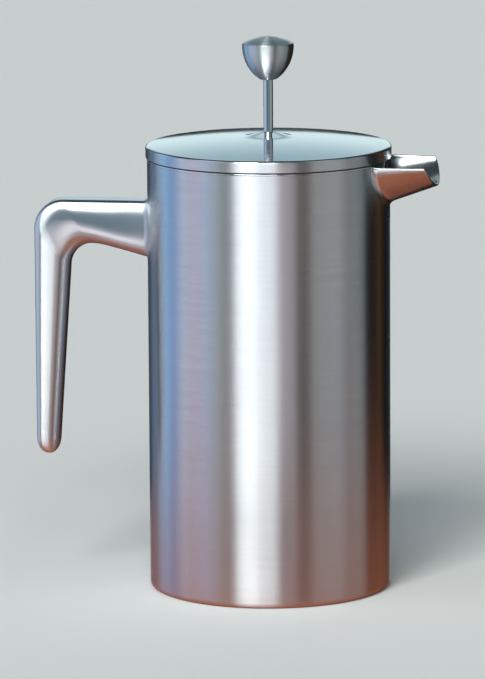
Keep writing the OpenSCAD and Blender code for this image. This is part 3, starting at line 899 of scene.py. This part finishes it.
def coil_piece():
    """One long spring wound round a circle."""
    lo, hi = BOX["edge_coil"]
    wire = 0.36
    rad = (hi[2] - lo[2]) / 2 - wire
    mid_r, mid_z = hi[1] - rad - wire, (hi[2] + lo[2]) / 2
    turns, points = 216, 12
    pts = []
    for i in range(turns * points):
        g = 2 * PI * i / (turns * points)
        a = 2 * PI * i / points
        r = mid_r + rad * math.cos(a)
        pts.append((r * math.cos(g), r * math.sin(g), mid_z + rad * math.sin(a)))
    verts, faces = tube_path(pts, wire, 6, closed=True)
    return add_mesh("edge_coil_fine", verts, faces)


place(coil_piece(), "edge_coil", rod_mat)


def screen_piece():
    """Woven wire: straight wires both ways, each rising and falling over the ones it crosses."""
    lo, hi = BOX["mesh_screen"]
    rad, mid = hi[1] - 0.1, (lo[2] + hi[2]) / 2
    pitch, wire, lift, hole_r = 1.1, 0.1, 0.095, 2.3
    verts, faces = [], []
    count = int(rad // pitch)
    for way in (0, 1):
        for i in range(-count, count + 1):
            a = i * pitch
            reach = math.sqrt(max(rad * rad - a * a, 0))
            spans = [(-reach, reach)]
            if abs(a) < hole_r:
                hole = math.sqrt(hole_r ** 2 - a * a)
                spans = [(-reach, -hole), (hole, reach)]
            for s0, s1 in spans:
                waves = [k * pitch / 2 for k in range(-2 * count - 2, 2 * count + 3)]
                ts = [s0] + [t for t in waves if s0 < t < s1] + [s1]
                if len(ts) < 3:
                    continue
                pts = []
                for t in ts:
                    z = mid + lift * math.cos(PI * t / pitch) * (-1) ** (i + way)
                    pts.append((t, a, z) if way == 0 else (a, t, z))
                v, f = tube_path(pts, wire, 4)
                base = len(verts)
                verts += v
                faces += [[base + k for k in face] for face in f]
    return add_mesh("mesh_screen_fine", verts, faces)


place(screen_piece(), "mesh_screen", wire_mat)

fold_r, fold_low, fold_top = radius("screen_rim"), low("screen_rim"), top("screen_rim")
fold_in, fold_t = fold_r - 1.2, 0.5
place(lathe("screen_rim_fine", outline([
    (fold_in, fold_low, 0.15), (fold_r, fold_low, 0.5), (fold_r, fold_top, 0.5),
    (fold_in, fold_top, 0.15), (fold_in + 0.15, fold_top - fold_t, 0.05),
    (fold_in + 0.15, fold_low + fold_t, 0.05)]), turns=192), "screen_rim", plate_mat)


def nut_piece():
    """Hexagon nut with its corners turned off at 30 degrees, and a countersunk bore."""
    lo, hi = BOX["bottom_nut"]
    flat = min(hi[0], hi[1])
    face_r = flat * 0.985
    sink, count = 0.4, 96

    def flat_r(g):
        return flat / math.cos((g + PI / 6) % (PI / 3) - PI / 6)

    # (height, how far the turned-off corners draw the ring in, radius or None on the flats)
    levels = [(lo[2] + sink, 0, BORE), (lo[2], 0, BORE + sink), (lo[2], 0, face_r),
              (lo[2], 1, None), (hi[2], -1, None), (hi[2], 0, face_r),
              (hi[2], 0, BORE + sink), (hi[2] - sink, 0, BORE)]
    verts = []
    for z, draw, r in levels:
        for j in range(count):
            g = 2 * PI * j / count
            cut = max(0.0, flat_r(g) - flat) * math.tan(PI / 6)
            at = r or flat_r(g)
            verts.append((at * math.cos(g), at * math.sin(g), z + draw * cut))
    piece = add_mesh("bottom_nut_fine", verts, ring_faces(len(levels), count, closed=True))
    piece.data.set_sharp_from_angle(angle=math.radians(25))
    return piece


place(nut_piece(), "bottom_nut", nut_mat)

# the CAD nodes whose shape is already right take a finished material
for node, material in (("base_plate", body_mat), ("lid_liner", plate_mat), ("lid_skirt", inner_mat),
                       ("knob_insert", nut_mat), ("spring_plate", plate_mat), ("cross_plate", plate_mat),
                       ("lock_washer", nut_mat)):
    mesh = frame["nodes"][node].data
    mesh.materials.clear()
    mesh.materials.append(material)


# ------------------------------------------------------------ camera, at the photograph's angle
PHOTO_H, FOCAL = 679, 5502.7
SENSOR = 36
TURN, PITCH, YAW, ROLL = (math.radians(a) for a in (8.8, 10.036, -0.284, -0.332))
EYE = (0, -2.24076, 0.49962)
turn = Matrix.Rotation(TURN, 3, "Z")
ahead = turn @ Vector((math.sin(YAW) * math.cos(PITCH), math.cos(YAW) * math.cos(PITCH),
                       -math.sin(PITCH)))
level = turn @ Vector((math.cos(YAW), -math.sin(YAW), 0))
upright = level.cross(ahead)
right = level * math.cos(ROLL) + upright * math.sin(ROLL)
up = upright * math.cos(ROLL) - level * math.sin(ROLL)
cam_data = bpy.data.cameras.new("camera")
cam_data.sensor_width = SENSOR
cam_data.lens = FOCAL * SENSOR / PHOTO_H
cam_data.clip_start, cam_data.clip_end = 0.1, 60
camera = bpy.data.objects.new("camera", cam_data)
scene.collection.objects.link(camera)
eye = turn @ Vector(EYE)
camera.matrix_world = Matrix.Translation(eye) @ Matrix((right, up, -ahead)).transposed().to_4x4()
bpy.context.scene.camera = camera


# ------------------------------------------------------------ floor and lights
def flat_piece(name, corners, z):
    mesh = bpy.data.meshes.new(name)
    mesh.from_pydata([(x, y, z) for x, y in corners], [], [list(range(len(corners)))])
    piece = bpy.data.objects.new(name, mesh)
    scene.collection.objects.link(piece)
    return piece


def matte(name, colour, rough=1.0, specular=0.0, ior=1.5):
    n = Nodes(name)
    n.bsdf.inputs["Base Color"].default_value = (*colour, 1)
    n.bsdf.inputs["Roughness"].default_value = rough
    n.bsdf.inputs["Specular IOR Level"].default_value = specular
    n.bsdf.inputs["IOR"].default_value = ior
    return n.mat


FLOOR_HALF, TABLE_R, TABLE_Z = 9, 0.19, 0.00001
floor = flat_piece("floor", [(x * FLOOR_HALF, y * FLOOR_HALF)
                             for x, y in ((-1, -1), (1, -1), (1, 1), (-1, 1))], 0)
floor.data.materials.append(matte("pale_floor", (0.90, 0.835, 0.79)))
floor.visible_glossy = False
# the metal reflects this darker, warmer table instead of the floor about it
table = flat_piece("table_card", [(TABLE_R * math.cos(2 * PI * k / 64),
                                   TABLE_R * math.sin(2 * PI * k / 64))
                                  for k in range(64)], TABLE_Z)
table.data.materials.append(matte("table_card", (0.74, 0.22, 0.12), 0.15, 0.5, 1.6))
table.visible_camera = table.visible_diffuse = table.visible_shadow = False

FACING = math.atan2(eye.y, eye.x)
# what surrounds the pot, by angle about it: 0 towards the camera, positive to the camera's right;
# (angle, colour), with most of the colours read off the photograph's reflections
BANDS = [
    (-180, 0.01, 0.01, 0.015), (-156, 0.03, 0.04, 0.06), (-147, 0.14, 0.20, 0.30), (-136, 0.13, 0.18, 0.25),
    (-131, 0.34, 0.47, 0.61), (-115, 0.33, 0.60, 0.95), (-109, 0.24, 0.40, 0.70), (-103, 0.28, 0.40, 0.68),
    (-97, 0.46, 0.56, 0.78), (-89, 0.64, 0.75, 0.91), (-84, 0.60, 0.62, 0.75), (-77, 0.62, 0.62, 0.79),
    (-62, 0.50, 0.62, 0.82), (-57, 0.39, 0.53, 0.64), (-52, 0.44, 0.53, 0.56), (-46, 0.29, 0.35, 0.37),
    (-40, 0.20, 0.26, 0.28), (10, 0.20, 0.25, 0.28), (20, 0.33, 0.40, 0.44), (24, 0.31, 0.36, 0.38),
    (28, 0.08, 0.12, 0.13), (38, 0.08, 0.12, 0.13), (43, 0.31, 0.36, 0.37), (70, 0.35, 0.42, 0.45),
    (81, 0.24, 0.27, 0.28), (92, 0.27, 0.30, 0.31), (101, 0.22, 0.27, 0.28), (106, 0.015, 0.02, 0.02),
    (123, 0.01, 0.01, 0.01), (127, 0.09, 0.045, 0.02), (136, 0.03, 0.02, 0.01), (142, 0.01, 0.01, 0.01)]


# patches over the bands, each fading in from the first angle to the second and out from the third
# to the fourth: (angles about the pot, angles of height, colour)
PATCHES = [
    # shaded strip under the window
    ((-40, -32, 8, 16), (-15, -9, 22, 26), (0.12, 0.19, 0.24)),
    # window light, high and in front
    ((-38, -33, 4, 12), (24, 29, 36, 42), (10.2, 11.4, 11.5)),
    ((-38, -33, -18, -10), (36, 42, 50, 58), (10.2, 11.4, 11.5)),
    # its sheen on whatever lies beyond the table, warmer to the right
    ((-46, -34, 14, 30), (-42, -30, -17, -12), (0.92, 0.79, 0.86)),
    ((-37, -32, 8, 15), (-42, -32, -17, -12), (1.45, 1.38, 1.45)),
    ((4, 14, 85, 100), (-85, -72, -40, -30), (0.70, 0.34, 0.25))]
CEILING = (0.055, 0.07, 0.08)
BACKDROP = (0.52, 0.55, 0.56)
BRIGHTNESS = 1.18


def studio():
    n = Nodes("studio", "worlds")
    scene.world = n.mat
    spin = n.new("ShaderNodeVectorRotate", rotation_type="Z_AXIS")
    n.link(n.new("ShaderNodeTexCoord").outputs["Generated"], spin.inputs["Vector"])
    spin.inputs["Angle"].default_value = -FACING
    axes = n.new("ShaderNodeSeparateXYZ")
    n.link(spin.outputs[0], axes.inputs[0])
    x, y, z = axes.outputs
    round_share = n.math("ADD", n.math("DIVIDE", n.math("ARCTAN2", y, x), 2 * PI), 0.5)
    ramp = n.new("ShaderNodeValToRGB")
    n.link(round_share, ramp.inputs["Fac"])
    stops = ramp.color_ramp.elements
    stops.remove(stops[1])
    stops[0].position, stops[0].color = 0.0, (*BANDS[0][1:], 1)
    for angle, *colour in BANDS[1:]:
        stop = stops.new((angle + 180) / 360)
        stop.color = (*colour, 1)
    height = n.math("MULTIPLY", n.math("ARCSINE", z), 180 / PI)
    about = n.math("MULTIPLY", n.math("SUBTRACT", round_share, 0.5), 360)
    behind = n.math("SUBTRACT", 180, n.math("ABSOLUTE", about))

    def up_to(value, low, high):
        """1 below low, 0 above high."""
        return n.math("SUBTRACT", 1, n.ramp(value, low, high))

    def between(value, a, b, c, d):
        """1 from b to c, fading to 0 at a and d."""
        return n.math("MULTIPLY", n.ramp(value, a, b), up_to(value, c, d))

    def over(base, colour, *shares):
        mix = n.new("ShaderNodeMix", data_type="RGBA")
        share = shares[0] if len(shares) == 1 else n.math("MULTIPLY", *shares)
        n.link(share, mix.inputs["Factor"])
        n.link(base, mix.inputs["A"])
        mix.inputs["B"].default_value = (*colour, 1)
        return mix.outputs["Result"]

    sky = over(ramp.outputs["Color"], CEILING, n.ramp(height, 45, 62))
    for angles, heights, colour in PATCHES:
        sky = over(sky, colour, between(about, *angles), between(height, *heights))
    # dim behind, with a pale patch low down that the lid mirrors
    near_back, wide_back = up_to(behind, 14, 22), up_to(behind, 85, 105)
    sky = over(sky, (0.66, 0.82, 0.86), near_back, n.ramp(height, 2.2, 3.2))
    sky = over(sky, (0.29, 0.43, 0.50), near_back, n.ramp(height, 6, 26))
    sky = over(sky, (0.04, 0.055, 0.065), wide_back, n.ramp(height, 28, 31))
    sky = over(sky, (0.55, 0.71, 0.73), near_back, between(height, 25, 32, 40, 50))
    # the camera itself sees a plain pale backdrop
    sky = over(sky, BACKDROP, n.new("ShaderNodeLightPath").outputs["Is Camera Ray"])
    background = n.tree.nodes["Background"]
    n.link(sky, background.inputs["Color"])
    background.inputs["Strength"].default_value = BRIGHTNESS


studio()

scene.view_settings.view_transform = "Standard"
